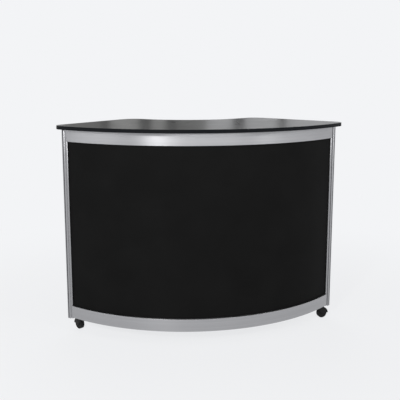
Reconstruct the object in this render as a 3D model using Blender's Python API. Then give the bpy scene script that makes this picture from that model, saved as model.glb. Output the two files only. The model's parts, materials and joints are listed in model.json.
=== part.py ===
"""Curved counter on casters: aluminium frame, black panels, worktop, shelf and base board.

Metres, +Z up. The floor is z = 0, the convex front faces -Y and +X is to the right.
The plan is a ring sector about an arc centre that lies behind the counter.
"""

import math

import bmesh
import bpy
from mathutils import Matrix, Vector

# Plan of the frame: the uprights' centres stand on two arcs about one centre
FRONT_RING_RADIUS = 0.985
REAR_RING_RADIUS = 0.515
SECTOR_ANGLE = math.radians(90.0)

# Octagonal upright with a T-slot in every facet and a bore; its foot stands below the beams
UPRIGHT_LENGTH = 1.0005
UPRIGHT_FOOT = 0.0075
UPRIGHT_ACROSS_FLATS = 0.038
UPRIGHT_BORE = 0.008
SLOT_PLAY = 0.00075
SLOT_LIP = 0.0022
SLOT_UNDERCUT = 0.00125
SLOT_DEPTH = 0.0065

# Hollow beam with a panel groove along one edge and a bearing lip on its inner face
BEAM_HEIGHT = 0.0635
BEAM_DEPTH = 0.030
BEAM_WALL = 0.0025
GROOVE_DEPTH = 0.012
LIP_REACH = 0.004
LIP_THICKNESS = 0.0025

# Tension lock in each beam end: block, tongue into the upright's slot, screw at the inner face
LOCK_LENGTH = 0.026
LOCK_HEIGHT = 0.034
LOCK_LEVEL = 0.0275
LOCK_TONGUE_REACH = 0.0045
LOCK_SCREW_RADIUS = 0.0055
LOCK_SCREW_RECESS = 0.0005

# Panels held in the grooves and slots
PANEL_THICKNESS = 0.004
PANEL_PLAY = 0.0005
PANEL_SLOT_REACH = 0.005

# Worktop with an edge band, overhanging the uprights' centre lines
WORKTOP_THICKNESS = 0.018
FRONT_OVERHANG = 0.060
REAR_OVERHANG = 0.060
SIDE_OVERHANG = 0.0365
FRONT_CORNER_RADIUS = 0.060
REAR_CORNER_RADIUS = 0.080
BAND_THICKNESS = 0.002
BATTEN_WIDTH = 0.040

# Base board and shelf
BASE_BOARD_THICKNESS = 0.016
SHELF_THICKNESS = 0.016
SHELF_HEIGHT = 0.480
RAIL_WALL = 0.0025
RAIL_HEIGHT = 0.025
RAIL_WIDTH = 0.036

# Hooded single-wheel caster
WHEEL_DIAMETER = 0.055
WHEEL_WIDTH = 0.0215
WHEEL_CHAMFER = 0.002
WHEEL_RIM = 0.006
WHEEL_DISH = 0.002
HUB_RADIUS = 0.008
AXLE_DIAMETER = 0.006
AXLE_PROUD = 0.0008
HOOD_GAP = 0.003
HOOD_WALL = 0.0025
HOOD_SIDE_GAP = 0.0006
HOOD_BACK_ANGLE = math.radians(1.0)
HOOD_FRONT_ANGLE = math.radians(142.0)
AXLE_BOSS_RADIUS = 0.008
KINGPIN_DIAMETER = 0.008
KINGPIN_LENGTH = 0.016
PIN_END_GAP = 0.001
SOCKET_WALL = 0.003
SOCKET_GAP = 0.001
SWIVEL_NECK = 0.0050
SWIVEL_GAP = 0.0005
RUNNING_GAP = 0.00015
PLATE_SIZE = 0.038
PLATE_THICKNESS = 0.0025
PLATE_CORNER_RADIUS = 0.005

# Where the casters sit: inwards from the rings and from the sides, and one on the middle line
CASTER_RING_INSET = 0.022
CASTER_SIDE_INSET = 0.061
CENTRE_CASTER_RADIUS = 0.820

# Way that each caster trails, as a turn from +X about +Z
CASTER_TRAIL_ANGLES = {
    "front_left": math.radians(128.0),
    "front_right": math.radians(12.0),
    "front_centre": math.radians(90.0),
    "rear_left": math.radians(150.0),
    "rear_right": math.radians(30.0),
}

# Gap between pieces that touch
GAP = 0.0003

# Facets of round shapes
ARC_STEPS = 24
CORNER_STEPS = 6
WHEEL_STEPS = 20
PIN_STEPS = 16

# Values worked out from the driving dimensions
HALF_ANGLE = SECTOR_ANGLE / 2
UPRIGHT_HALF = UPRIGHT_ACROSS_FLATS / 2
BEAM_HALF = BEAM_DEPTH / 2
SLOT_MOUTH = PANEL_THICKNESS + 2 * SLOT_PLAY
BEAM_END = max(UPRIGHT_HALF, BEAM_HALF + LIP_REACH) + GAP
BOARD_INSET = max(BEAM_HALF, UPRIGHT_HALF / math.sqrt(2)) + GAP

AXLE_RADIUS = AXLE_DIAMETER / 2
KINGPIN_RADIUS = KINGPIN_DIAMETER / 2
AXLE_Z = WHEEL_DIAMETER / 2
HOOD_INNER_RADIUS = WHEEL_DIAMETER / 2 + HOOD_GAP
HOOD_OUTER_RADIUS = HOOD_INNER_RADIUS + HOOD_WALL
SOCKET_RADIUS = KINGPIN_RADIUS + RUNNING_GAP + SOCKET_WALL
SOCKET_TOP_Z = AXLE_Z + HOOD_OUTER_RADIUS + SWIVEL_NECK
PLATE_Z = SOCKET_TOP_Z + SWIVEL_GAP
BASE_Z = PLATE_Z + PLATE_THICKNESS + GAP
BORE_FLOOR_Z = PLATE_Z - KINGPIN_LENGTH - PIN_END_GAP
SOCKET_FLOOR_Z = BORE_FLOOR_Z - SOCKET_WALL
HOOD_INNER_Y = WHEEL_WIDTH / 2 + HOOD_SIDE_GAP
HOOD_OUTER_Y = HOOD_INNER_Y + HOOD_WALL

# The wheel trails just far enough to clear the kingpin's socket
WHEEL_AT_SOCKET = math.sqrt(max(0.0, AXLE_Z ** 2 - max(0.0, SOCKET_FLOOR_Z - AXLE_Z) ** 2))
TRAIL = SOCKET_RADIUS + SOCKET_GAP + WHEEL_AT_SOCKET

UPRIGHT_Z = BASE_Z - UPRIGHT_FOOT
TOP_Z = UPRIGHT_Z + UPRIGHT_LENGTH
TOP_BEAM_Z = TOP_Z - BEAM_HEIGHT
SHELF_Z = BASE_Z + SHELF_HEIGHT

SIDES = {"left": -1, "right": 1}


def radial(angle):
    """Unit vector away from the arc centre, at a turn from the middle of the front."""
    return Vector((math.sin(angle), -math.cos(angle), 0.0))


def arc_points(centre, radius, start, end, steps):
    """Points of an arc in the plan, both ends included; angles from +X."""
    points = []
    for step in range(steps + 1):
        angle = start + (end - start) * step / steps
        points.append((centre[0] + radius * math.cos(angle), centre[1] + radius * math.sin(angle)))
    return points


def circle_points(radius, steps):
    """Points of a full circle about the origin."""
    return arc_points((0.0, 0.0), radius, 0.0, 2 * math.pi, steps)[:-1]


def sector_outline(front_radius, rear_radius, side, front_round=0.0, rear_round=0.0):
    """Outline of a ring sector about the arc centre, anticlockwise from the middle of the front.

    side is how far the outline stands outside the line through the uprights' centres.
    """
    outwards = radial(HALF_ANGLE)
    sideways = Vector((math.cos(HALF_ANGLE), math.sin(HALF_ANGLE), 0.0))

    front_side = side - front_round
    front_reach = math.sqrt((front_radius - front_round) ** 2 - front_side ** 2)
    front_centre = outwards * front_reach + sideways * front_side
    front_heading = math.atan2(front_centre.y, front_centre.x)

    rear_side = side - rear_round
    rear_reach = math.sqrt((rear_radius + rear_round) ** 2 - rear_side ** 2)
    rear_centre = outwards * rear_reach + sideways * rear_side
    rear_heading = math.atan2(rear_centre.y, rear_centre.x)

    middle = -math.pi / 2
    half_steps = ARC_STEPS // 2
    right = arc_points((0.0, 0.0), front_radius, middle, front_heading, half_steps)
    if front_round > 0:
        right += arc_points(front_centre, front_round, front_heading, HALF_ANGLE, CORNER_STEPS)[1:]
    if rear_round > 0:
        right += arc_points(rear_centre, rear_round, HALF_ANGLE, rear_heading + math.pi, CORNER_STEPS)[:-1]
    right += arc_points((0.0, 0.0), rear_radius, rear_heading, middle, half_steps)

    left = [(-x, y) for x, y in reversed(right[1:-1])]
    return right + left


def worktop_outline(inset):
    """Outline of the worktop, drawn in from its edge by inset."""
    return sector_outline(
        FRONT_RING_RADIUS + FRONT_OVERHANG - inset,
        REAR_RING_RADIUS - REAR_OVERHANG + inset,
        SIDE_OVERHANG - inset,
        FRONT_CORNER_RADIUS - inset,
        REAR_CORNER_RADIUS - inset,
    )


# The model is centred front to back on its worktop, so the arc centre lies behind the origin
WORKTOP_YS = [point[1] for point in worktop_outline(0.0)]
ARC_CENTRE = Vector((0.0, -(min(WORKTOP_YS) + max(WORKTOP_YS)) / 2, 0.0))


def make_material(name, colour, roughness, metallic=0.0):
    """Principled material; colour is linear RGB."""
    material = bpy.data.materials.new(name)
    material.use_nodes = True
    shader = material.node_tree.nodes["Principled BSDF"]
    shader.inputs["Base Color"].default_value = (*colour, 1.0)
    shader.inputs["Roughness"].default_value = roughness
    shader.inputs["Metallic"].default_value = metallic
    return material


def fill_profile(bm, loops, place):
    """Fill closed 2D loops, the outline first and then its holes, and return the faces."""
    edges = []
    for loop in loops:
        verts = [bm.verts.new(place(*point)) for point in loop]
        for index, vert in enumerate(verts):
            edges.append(bm.edges.new((verts[index - 1], vert)))
    if len(loops) == 1:
        return bmesh.ops.contextual_create(bm, geom=edges)["faces"]
    filled = bmesh.ops.triangle_fill(bm, edges=edges, use_beauty=True)
    return [item for item in filled["geom"] if isinstance(item, bmesh.types.BMFace)]


def extruded(loops, place, move):
    """Solid made by moving a filled profile along a vector."""
    bm = bmesh.new()
    faces = fill_profile(bm, loops, place)
    swept = bmesh.ops.extrude_face_region(bm, geom=faces)
    verts = [item for item in swept["geom"] if isinstance(item, bmesh.types.BMVert)]
    bmesh.ops.translate(bm, verts=verts, vec=move)
    bmesh.ops.recalc_face_normals(bm, faces=bm.faces)
    return bm


def plan_prism(outline, bottom, top, *holes):
    """Solid with a plan outline, between two heights."""
    rise = Vector((0.0, 0.0, top - bottom))
    return extruded([outline, *holes], lambda x, y: (x, y, bottom), rise)


def turned_along_arc(loops, radius, half_angle):
    """Solid swept about the arc centre; a profile point is (outward, up) from the ring."""
    bm = bmesh.new()
    start = radial(-half_angle)
    faces = fill_profile(bm, loops, lambda out, up: start * (radius + out) + Vector((0.0, 0.0, up)))
    edges = {edge for face in faces for edge in face.edges}
    verts = {vert for face in faces for vert in face.verts}
    bmesh.ops.spin(
        bm,
        geom=[*faces, *edges, *verts],
        cent=(0.0, 0.0, 0.0),
        axis=(0.0, 0.0, 1.0),
        angle=2 * half_angle,
        steps=ARC_STEPS,
    )
    bmesh.ops.recalc_face_normals(bm, faces=bm.faces)
    return bm


def cylinder(radius, start, end, steps=PIN_STEPS):
    """Closed cylinder between two points."""
    axis = Vector(end) - Vector(start)
    bm = bmesh.new()
    bmesh.ops.create_cone(
        bm, cap_ends=True, segments=steps, radius1=radius, radius2=radius, depth=axis.length,
    )
    middle = (Vector(start) + Vector(end)) / 2
    turn = axis.to_track_quat("Z", "Y").to_matrix().to_4x4()
    bmesh.ops.transform(bm, matrix=Matrix.Translation(middle) @ turn, verts=bm.verts)
    return bm


def mesh_from(bm, name):
    """Turn a bmesh into a mesh."""
    mesh = bpy.data.meshes.new(name)
    bm.to_mesh(mesh)
    bm.free()
    return mesh


def combined(base, added, removed, name):
    """Mesh of a base bmesh with other bmeshes joined to it and then cut from it."""
    target = bpy.data.objects.new(name, mesh_from(base, name))
    bpy.context.scene.collection.objects.link(target)
    tools = []
    for operation, shapes in (("UNION", added), ("DIFFERENCE", removed)):
        for shape in shapes:
            tool = bpy.data.objects.new(name + "_tool", mesh_from(shape, name))
            bpy.context.scene.collection.objects.link(tool)
            modifier = target.modifiers.new(operation.lower(), "BOOLEAN")
            modifier.operation = operation
            modifier.object = tool
            tools.append(tool)
    bpy.context.view_layer.update()
    evaluated = target.evaluated_get(bpy.context.evaluated_depsgraph_get())
    mesh = bpy.data.meshes.new_from_object(evaluated)
    mesh.name = name
    for helper in [target, *tools]:
        bpy.data.objects.remove(helper)
    return mesh


def add_piece(name, shape, material, location, turn=0.0):
    """Add one named sub-part from a mesh or a bmesh."""
    mesh = shape if isinstance(shape, bpy.types.Mesh) else mesh_from(shape, name)
    mesh.materials.clear()
    mesh.materials.append(material)
    mesh.shade_smooth()
    mesh.set_sharp_from_angle(angle=math.radians(30.0))
    piece = bpy.data.objects.new(name, mesh)
    piece.location = location
    piece.rotation_euler = (0.0, 0.0, turn)
    bpy.context.scene.collection.objects.link(piece)
    return piece


def upright_profile():
    """Octagon with a T-slot in the middle of each facet."""
    corner = UPRIGHT_HALF * math.tan(math.pi / 8)
    mouth = SLOT_MOUTH / 2
    width = mouth + SLOT_UNDERCUT
    lip = UPRIGHT_HALF - SLOT_LIP
    floor = UPRIGHT_HALF - SLOT_DEPTH
    facet = [
        (UPRIGHT_HALF, -corner),
        (UPRIGHT_HALF, -mouth),
        (lip, -mouth),
        (lip, -width),
        (floor, -width),
        (floor, width),
        (lip, width),
        (lip, mouth),
        (UPRIGHT_HALF, mouth),
    ]
    outline = []
    for turn in range(8):
        rotation = Matrix.Rotation(turn * math.pi / 4, 2)
        outline += [tuple(rotation @ Vector(point)) for point in facet]
    return outline


def upright_place(ring_radius, side):
    """Centre of an upright at floor level."""
    return ARC_CENTRE + radial(side * HALF_ANGLE) * ring_radius


def add_uprights(material):
    """Four octagonal uprights, one at each corner of the plan."""
    for end, ring_radius in (("front", FRONT_RING_RADIUS), ("rear", REAR_RING_RADIUS)):
        for side_name, side in SIDES.items():
            shape = plan_prism(
                upright_profile(), 0.0, UPRIGHT_LENGTH, circle_points(UPRIGHT_BORE / 2, PIN_STEPS),
            )
            place = upright_place(ring_radius, side) + Vector((0.0, 0.0, UPRIGHT_Z))
            add_piece(f"upright_{end}_{side_name}", shape, material, place, side * HALF_ANGLE)


def beam_loops(inner, at_top):
    """Outline and chamber of the beam; inner is the sign of its inner side.

    The bottom beam has its groove up and its lip just above the base board. The top beam is
    the same section upside down.
    """
    groove = PANEL_THICKNESS / 2 + PANEL_PLAY
    groove_floor = BEAM_HEIGHT - GROOVE_DEPTH
    lip_low = BASE_BOARD_THICKNESS + GAP
    lip_high = lip_low + LIP_THICKNESS
    lip_tip = BEAM_HALF + LIP_REACH
    chamber = BEAM_HALF - BEAM_WALL
    chamber_top = groove_floor - BEAM_WALL
    outline = [
        (-BEAM_HALF, 0.0),
        (-BEAM_HALF, BEAM_HEIGHT),
        (-groove, BEAM_HEIGHT),
        (-groove, groove_floor),
        (groove, groove_floor),
        (groove, BEAM_HEIGHT),
        (BEAM_HALF, BEAM_HEIGHT),
        (BEAM_HALF, lip_high),
        (lip_tip, lip_high),
        (lip_tip, lip_low),
        (BEAM_HALF, lip_low),
        (BEAM_HALF, 0.0),
    ]
    hollow = [
        (-chamber, BEAM_WALL),
        (-chamber, chamber_top),
        (chamber, chamber_top),
        (chamber, BEAM_WALL),
    ]
    loops = []
    for loop in (outline, hollow):
        loops.append([(inner * out, BEAM_HEIGHT - up if at_top else up) for out, up in loop])
    return loops


def lock_level(at_top):
    """Height of a lock's screw above the lower edge of its beam."""
    return BEAM_HEIGHT - LOCK_LEVEL if at_top else LOCK_LEVEL


def bow(ring_radius, distance):
    """How far an arc leaves its tangent at a distance from the upright; nothing when straight."""
    if ring_radius is None:
        return 0.0
    size = abs(ring_radius)
    return math.copysign(size - math.sqrt(size ** 2 - distance ** 2), ring_radius)


LOCK_START = BEAM_END + GAP
LOCK_SCREW_X = LOCK_START + LOCK_LENGTH / 2
LOCK_HALF_WIDTH = BEAM_HALF - BEAM_WALL - bow(REAR_RING_RADIUS, LOCK_START + LOCK_LENGTH) - GAP


def add_beam_and_locks(name, shape, material, lock_material, at_top, place, turn, ends):
    """One beam drilled for its two lock screws, with the locks in its ends.

    Each end gives its name, upright centre, heading of the beam from there, sign of the inner
    side across that heading, and the ring radius that the beam bends to, negative where it
    bends away from the inner side.
    """
    beam_z = TOP_BEAM_Z if at_top else BASE_Z
    level = lock_level(at_top)
    to_beam = Matrix.Translation(place) @ Matrix.Rotation(turn, 4, "Z")
    holes = []
    for end, upright, heading, inner, ring_radius in ends:
        face = BEAM_HALF + bow(ring_radius, LOCK_SCREW_X)
        hole = cylinder(
            LOCK_SCREW_RADIUS + GAP,
            (LOCK_SCREW_X, inner * (face - 2 * BEAM_WALL), level),
            (LOCK_SCREW_X, inner * (face + 2 * BEAM_WALL), level),
        )
        from_upright = Matrix.Translation(upright) @ Matrix.Rotation(heading, 4, "Z")
        bmesh.ops.transform(hole, matrix=to_beam.inverted() @ from_upright, verts=hole.verts)
        holes.append(hole)

        tongue = SLOT_MOUTH / 2 - SLOT_PLAY
        tip = UPRIGHT_HALF - LOCK_TONGUE_REACH
        back = LOCK_START + LOCK_LENGTH
        plan = [
            (tip, -tongue),
            (LOCK_START, -tongue),
            (LOCK_START, -LOCK_HALF_WIDTH),
            (back, -LOCK_HALF_WIDTH),
            (back, LOCK_HALF_WIDTH),
            (LOCK_START, LOCK_HALF_WIDTH),
            (LOCK_START, tongue),
            (tip, tongue),
        ]
        block = plan_prism(plan, level - LOCK_HEIGHT / 2, level + LOCK_HEIGHT / 2)
        screw = cylinder(
            LOCK_SCREW_RADIUS,
            (LOCK_SCREW_X, inner * LOCK_HALF_WIDTH / 2, level),
            (LOCK_SCREW_X, inner * (face - LOCK_SCREW_RECESS), level),
        )
        lock = combined(block, [screw], [], f"lock_{name}_{end}")
        add_piece(
            f"lock_{name}_{end}", lock, lock_material, upright + Vector((0.0, 0.0, beam_z)), heading,
        )
    beam = combined(shape, [], holes, f"beam_{name}")
    add_piece(f"beam_{name}", beam, material, place + Vector((0.0, 0.0, beam_z)), turn)


def add_curved_beams(material, lock_material):
    """Front and rear beams, bent to the two rings, at the top and the bottom."""
    for end, ring_radius, inner in (("front", FRONT_RING_RADIUS, -1), ("rear", REAR_RING_RADIUS, 1)):
        setback = math.asin(BEAM_END / (ring_radius - BEAM_HALF - LIP_REACH))
        for level_name, at_top in (("top", True), ("bottom", False)):
            shape = turned_along_arc(beam_loops(inner, at_top), ring_radius, HALF_ANGLE - setback)
            ends = []
            for side_name, side in SIDES.items():
                heading = side * HALF_ANGLE + (math.pi if side > 0 else 0.0)
                ends.append((
                    side_name,
                    upright_place(ring_radius, side),
                    heading,
                    side * inner,
                    -inner * ring_radius,
                ))
            add_beam_and_locks(
                f"{end}_{level_name}", shape, material, lock_material, at_top, ARC_CENTRE, 0.0, ends,
            )


def add_side_beams(material, lock_material):
    """Straight beams between the front and rear uprights of each side."""
    near = REAR_RING_RADIUS + BEAM_END
    far = FRONT_RING_RADIUS - BEAM_END
    for side_name, side in SIDES.items():
        turn = side * HALF_ANGLE - math.pi / 2
        for level_name, at_top in (("top", True), ("bottom", False)):
            shape = extruded(
                beam_loops(-side, at_top),
                lambda out, up: (near, out, up),
                Vector((far - near, 0.0, 0.0)),
            )
            ends = [
                ("front", upright_place(FRONT_RING_RADIUS, side), turn + math.pi, side, None),
                ("rear", upright_place(REAR_RING_RADIUS, side), turn, -side, None),
            ]
            add_beam_and_locks(
                f"{side_name}_{level_name}", shape, material, lock_material, at_top, ARC_CENTRE, turn, ends,
            )


def add_panels(material):
    """Curved front panel and two flat side panels, held in the grooves and slots."""
    low = BASE_Z + BEAM_HEIGHT - GROOVE_DEPTH + PANEL_PLAY
    height = TOP_Z - BASE_Z - 2 * (BEAM_HEIGHT - GROOVE_DEPTH + PANEL_PLAY)
    half = PANEL_THICKNESS / 2
    section = [(half, 0.0), (half, height), (-half, height), (-half, 0.0)]
    edge = UPRIGHT_HALF - PANEL_SLOT_REACH
    lift = Vector((0.0, 0.0, low))

    setback = math.asin(edge / FRONT_RING_RADIUS)
    front = turned_along_arc([section], FRONT_RING_RADIUS, HALF_ANGLE - setback)
    add_piece("panel_front", front, material, ARC_CENTRE + lift)

    near = REAR_RING_RADIUS + edge
    length = FRONT_RING_RADIUS - edge - near
    for side_name, side in SIDES.items():
        flat = extruded([section], lambda out, up: (near, out, up), Vector((length, 0.0, 0.0)))
        turn = side * HALF_ANGLE - math.pi / 2
        add_piece(f"panel_{side_name}", flat, material, ARC_CENTRE + lift, turn)


def add_worktop(board_material, band_material, batten_material):
    """Worktop board, the band round its edge, and the two battens that fix it to the side beams."""
    low = TOP_Z + GAP
    high = low + WORKTOP_THICKNESS
    board = plan_prism(worktop_outline(BAND_THICKNESS + GAP), low, high)
    add_piece("worktop_board", board, board_material, ARC_CENTRE)
    band = plan_prism(worktop_outline(0.0), low, high, worktop_outline(BAND_THICKNESS))
    add_piece("worktop_edge_band", band, band_material, ARC_CENTRE)

    batten_near = BOARD_INSET
    batten_far = batten_near + BATTEN_WIDTH
    front_limit = FRONT_RING_RADIUS - BEAM_HALF - LIP_REACH - GAP
    front = math.sqrt(front_limit ** 2 - batten_far ** 2)
    rear = REAR_RING_RADIUS + BEAM_END
    batten_top = TOP_Z
    batten_bottom = batten_top - BASE_BOARD_THICKNESS
    for side_name, side in SIDES.items():
        outline = [
            (rear, -side * batten_near),
            (front, -side * batten_near),
            (front, -side * batten_far),
            (rear, -side * batten_far),
        ]
        batten = plan_prism(outline, batten_bottom, batten_top)
        turn = side * HALF_ANGLE - math.pi / 2
        add_piece(f"worktop_batten_{side_name}", batten, batten_material, ARC_CENTRE, turn)


def add_base_and_shelf(board_material, rail_material):
    """Base board under the lips of the bottom beams, and a shelf on two angle rails."""
    outline = sector_outline(FRONT_RING_RADIUS - BOARD_INSET, REAR_RING_RADIUS + BOARD_INSET, -BOARD_INSET)
    base = plan_prism(outline, BASE_Z, BASE_Z + BASE_BOARD_THICKNESS)
    add_piece("base_board", base, board_material, ARC_CENTRE)
    shelf = plan_prism(outline, SHELF_Z, SHELF_Z + SHELF_THICKNESS)
    add_piece("shelf_board", shelf, board_material, ARC_CENTRE)

    back = PANEL_THICKNESS / 2 + GAP
    top = SHELF_Z - GAP
    section = [
        (back, top),
        (back, top - RAIL_HEIGHT),
        (back + RAIL_WALL, top - RAIL_HEIGHT),
        (back + RAIL_WALL, top - RAIL_WALL),
        (back + RAIL_WIDTH, top - RAIL_WALL),
        (back + RAIL_WIDTH, top),
    ]
    near = REAR_RING_RADIUS + UPRIGHT_HALF + GAP
    length = FRONT_RING_RADIUS - UPRIGHT_HALF - GAP - near
    for side_name, side in SIDES.items():
        rail = extruded(
            [section],
            lambda inwards, up: (near, -side * inwards, up),
            Vector((length, 0.0, 0.0)),
        )
        turn = side * HALF_ANGLE - math.pi / 2
        add_piece(f"shelf_rail_{side_name}", rail, rail_material, ARC_CENTRE, turn)


def side_prism(outline, near, far):
    """Solid with an outline in the XZ plane, between two distances along Y."""
    return extruded([outline], lambda x, z: (x, near, z), Vector((0.0, far - near, 0.0)))


def hood_mesh():
    """Caster hood about its swivel axis: arch, two cheeks drilled for the axle, kingpin socket."""
    axle = (TRAIL, AXLE_Z)
    outer = arc_points(axle, HOOD_OUTER_RADIUS, HOOD_BACK_ANGLE, HOOD_FRONT_ANGLE, ARC_STEPS // 2)
    inner = arc_points(axle, HOOD_INNER_RADIUS, HOOD_FRONT_ANGLE, HOOD_BACK_ANGLE, ARC_STEPS // 2)
    arch = side_prism(outer + inner, -HOOD_OUTER_Y, HOOD_OUTER_Y)

    cheek_radius = (HOOD_INNER_RADIUS + HOOD_OUTER_RADIUS) / 2
    cheek_edge = arc_points(axle, cheek_radius, HOOD_BACK_ANGLE, HOOD_FRONT_ANGLE, ARC_STEPS // 2)
    axle_boss = arc_points(axle, AXLE_BOSS_RADIUS, math.pi, 2 * math.pi, CORNER_STEPS)
    cheeks = [
        side_prism(cheek_edge + axle_boss, -HOOD_OUTER_Y, -HOOD_INNER_Y),
        side_prism(cheek_edge + axle_boss, HOOD_INNER_Y, HOOD_OUTER_Y),
    ]
    socket = cylinder(SOCKET_RADIUS, (0.0, 0.0, SOCKET_FLOOR_Z), (0.0, 0.0, SOCKET_TOP_Z))

    bore_radius = (KINGPIN_RADIUS + RUNNING_GAP) / math.cos(math.pi / PIN_STEPS)
    bore = cylinder(bore_radius, (0.0, 0.0, BORE_FLOOR_Z), (0.0, 0.0, PLATE_Z + PLATE_THICKNESS))
    hole_end = HOOD_OUTER_Y + HOOD_WALL
    axle_hole = cylinder(AXLE_RADIUS + GAP, (TRAIL, -hole_end, AXLE_Z), (TRAIL, hole_end, AXLE_Z))
    return combined(arch, [*cheeks, socket], [bore, axle_hole], "caster_hood")


def plate_mesh():
    """Caster plate with rounded corners and the kingpin riveted in its middle."""
    straight = PLATE_SIZE / 2 - PLATE_CORNER_RADIUS
    outline = []
    for quarter in range(4):
        start = quarter * math.pi / 2
        middle = start + math.pi / 4
        centre = (
            math.copysign(straight, math.cos(middle)),
            math.copysign(straight, math.sin(middle)),
        )
        outline += arc_points(centre, PLATE_CORNER_RADIUS, start, start + math.pi / 2, CORNER_STEPS // 2)
    plate = plan_prism(outline, PLATE_Z, PLATE_Z + PLATE_THICKNESS)
    pin_bottom = (0.0, 0.0, PLATE_Z - KINGPIN_LENGTH)
    pin_top = (0.0, 0.0, PLATE_Z + PLATE_THICKNESS / 2)
    return combined(plate, [cylinder(KINGPIN_RADIUS, pin_bottom, pin_top)], [], "caster_plate")


def axle_pin():
    """Axle along Y through both cheeks of the hood."""
    end = HOOD_OUTER_Y + AXLE_PROUD
    return cylinder(AXLE_RADIUS, (0.0, -end, 0.0), (0.0, end, 0.0))


def wheel_ring():
    """Wheel turned about its axle along Y: bored hub, dished sides and a chamfered tread."""
    radius = WHEEL_DIAMETER / 2
    bore = (AXLE_RADIUS + RUNNING_GAP) / math.cos(math.pi / WHEEL_STEPS)
    face = WHEEL_WIDTH / 2
    half = [
        (bore, face),
        (HUB_RADIUS, face),
        (HUB_RADIUS, face - WHEEL_DISH),
        (radius - WHEEL_RIM - WHEEL_DISH, face - WHEEL_DISH),
        (radius - WHEEL_RIM, face),
        (radius - WHEEL_CHAMFER, face),
        (radius, face - WHEEL_CHAMFER),
    ]
    profile = half + [(r, -y) for r, y in reversed(half)]
    bm = bmesh.new()
    verts = [bm.verts.new((r, y, 0.0)) for r, y in profile]
    edges = [bm.edges.new((verts[index - 1], vert)) for index, vert in enumerate(verts)]
    bmesh.ops.spin(
        bm,
        geom=verts + edges,
        cent=(0.0, 0.0, 0.0),
        axis=(0.0, 1.0, 0.0),
        angle=2 * math.pi,
        steps=WHEEL_STEPS,
    )
    bmesh.ops.remove_doubles(bm, verts=bm.verts, dist=0.00001)
    bmesh.ops.recalc_face_normals(bm, faces=bm.faces)
    return bm


def caster_places():
    """Swivel axis of each caster at floor level and the turn of its plate, by name."""
    places = {"front_centre": (ARC_CENTRE + radial(0.0) * CENTRE_CASTER_RADIUS, 0.0)}
    for side_name, side in SIDES.items():
        turn = side * HALF_ANGLE
        inwards = Vector((-side * math.cos(HALF_ANGLE), -math.sin(HALF_ANGLE), 0.0)) * CASTER_SIDE_INSET
        front = radial(turn) * (FRONT_RING_RADIUS - CASTER_RING_INSET)
        rear = radial(turn) * (REAR_RING_RADIUS + CASTER_RING_INSET)
        places["front_" + side_name] = (ARC_CENTRE + front + inwards, turn)
        places["rear_" + side_name] = (ARC_CENTRE + rear + inwards, turn)
    return places


def add_casters(plate_material, hood_material, axle_material, wheel_material):
    """Five hooded casters under the base board and the beams."""
    for name, (place, plate_turn) in caster_places().items():
        trail_angle = CASTER_TRAIL_ANGLES[name]
        axle_place = place + Matrix.Rotation(trail_angle, 3, "Z") @ Vector((TRAIL, 0.0, AXLE_Z))
        add_piece(f"caster_{name}_plate", plate_mesh(), plate_material, place, plate_turn)
        add_piece(f"caster_{name}_hood", hood_mesh(), hood_material, place, trail_angle)
        add_piece(f"caster_{name}_axle", axle_pin(), axle_material, axle_place, trail_angle)
        add_piece(f"caster_{name}_wheel", wheel_ring(), wheel_material, axle_place, trail_angle)


def main():
    for old in list(bpy.data.objects):
        bpy.data.objects.remove(old)

    aluminium = make_material("anodised_aluminium", (0.36, 0.36, 0.37), 0.38, 0.9)
    zinc = make_material("zinc_plated_steel", (0.45, 0.45, 0.46), 0.35, 0.9)
    panel_black = make_material("black_panel", (0.011, 0.011, 0.012), 0.55)
    worktop_black = make_material("black_laminate", (0.012, 0.012, 0.013), 0.25)
    band_black = make_material("black_edge_band", (0.013, 0.013, 0.013), 0.4)
    board_grey = make_material("grey_melamine", (0.30, 0.30, 0.30), 0.5)
    batten_wood = make_material("birch_plywood", (0.50, 0.36, 0.22), 0.6)
    nylon = make_material("black_nylon", (0.012, 0.012, 0.012), 0.45)
    tread = make_material("black_polyurethane", (0.014, 0.014, 0.014), 0.55)
    black_steel = make_material("black_oxide_steel", (0.020, 0.020, 0.022), 0.45, 0.5)

    add_uprights(aluminium)
    add_curved_beams(aluminium, zinc)
    add_side_beams(aluminium, zinc)
    add_panels(panel_black)
    add_worktop(worktop_black, band_black, batten_wood)
    add_base_and_shelf(board_grey, aluminium)
    add_casters(zinc, nylon, black_steel, tread)


main()
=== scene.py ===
"""Looks of the curved counter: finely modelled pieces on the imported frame, finishes, light, camera."""

import json
import math
from contextlib import contextmanager

import bmesh
import bpy
from mathutils import Matrix, Vector


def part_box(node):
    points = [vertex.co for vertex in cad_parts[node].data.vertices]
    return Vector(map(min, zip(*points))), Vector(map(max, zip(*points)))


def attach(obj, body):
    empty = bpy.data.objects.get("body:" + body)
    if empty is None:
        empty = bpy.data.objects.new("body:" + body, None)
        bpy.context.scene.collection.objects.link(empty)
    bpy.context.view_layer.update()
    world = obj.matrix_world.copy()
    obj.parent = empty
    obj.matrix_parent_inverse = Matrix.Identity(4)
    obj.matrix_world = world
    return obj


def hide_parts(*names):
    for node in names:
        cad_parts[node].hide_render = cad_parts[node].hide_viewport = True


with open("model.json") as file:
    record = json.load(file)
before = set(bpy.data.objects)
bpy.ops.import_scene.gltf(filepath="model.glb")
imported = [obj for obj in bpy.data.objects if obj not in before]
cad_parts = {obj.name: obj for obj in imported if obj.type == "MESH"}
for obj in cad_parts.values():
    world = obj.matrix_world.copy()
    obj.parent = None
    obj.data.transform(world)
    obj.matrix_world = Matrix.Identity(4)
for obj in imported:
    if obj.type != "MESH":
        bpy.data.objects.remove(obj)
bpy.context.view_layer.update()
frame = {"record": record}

# Plan, shared with the solids: uprights on two rings about an arc centre behind the counter
HALF_ANGLE = math.radians(45.0)
FRONT_RING_RADIUS = 0.985
REAR_RING_RADIUS = 0.515
SIDES = {"left": -1, "right": 1}
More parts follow.
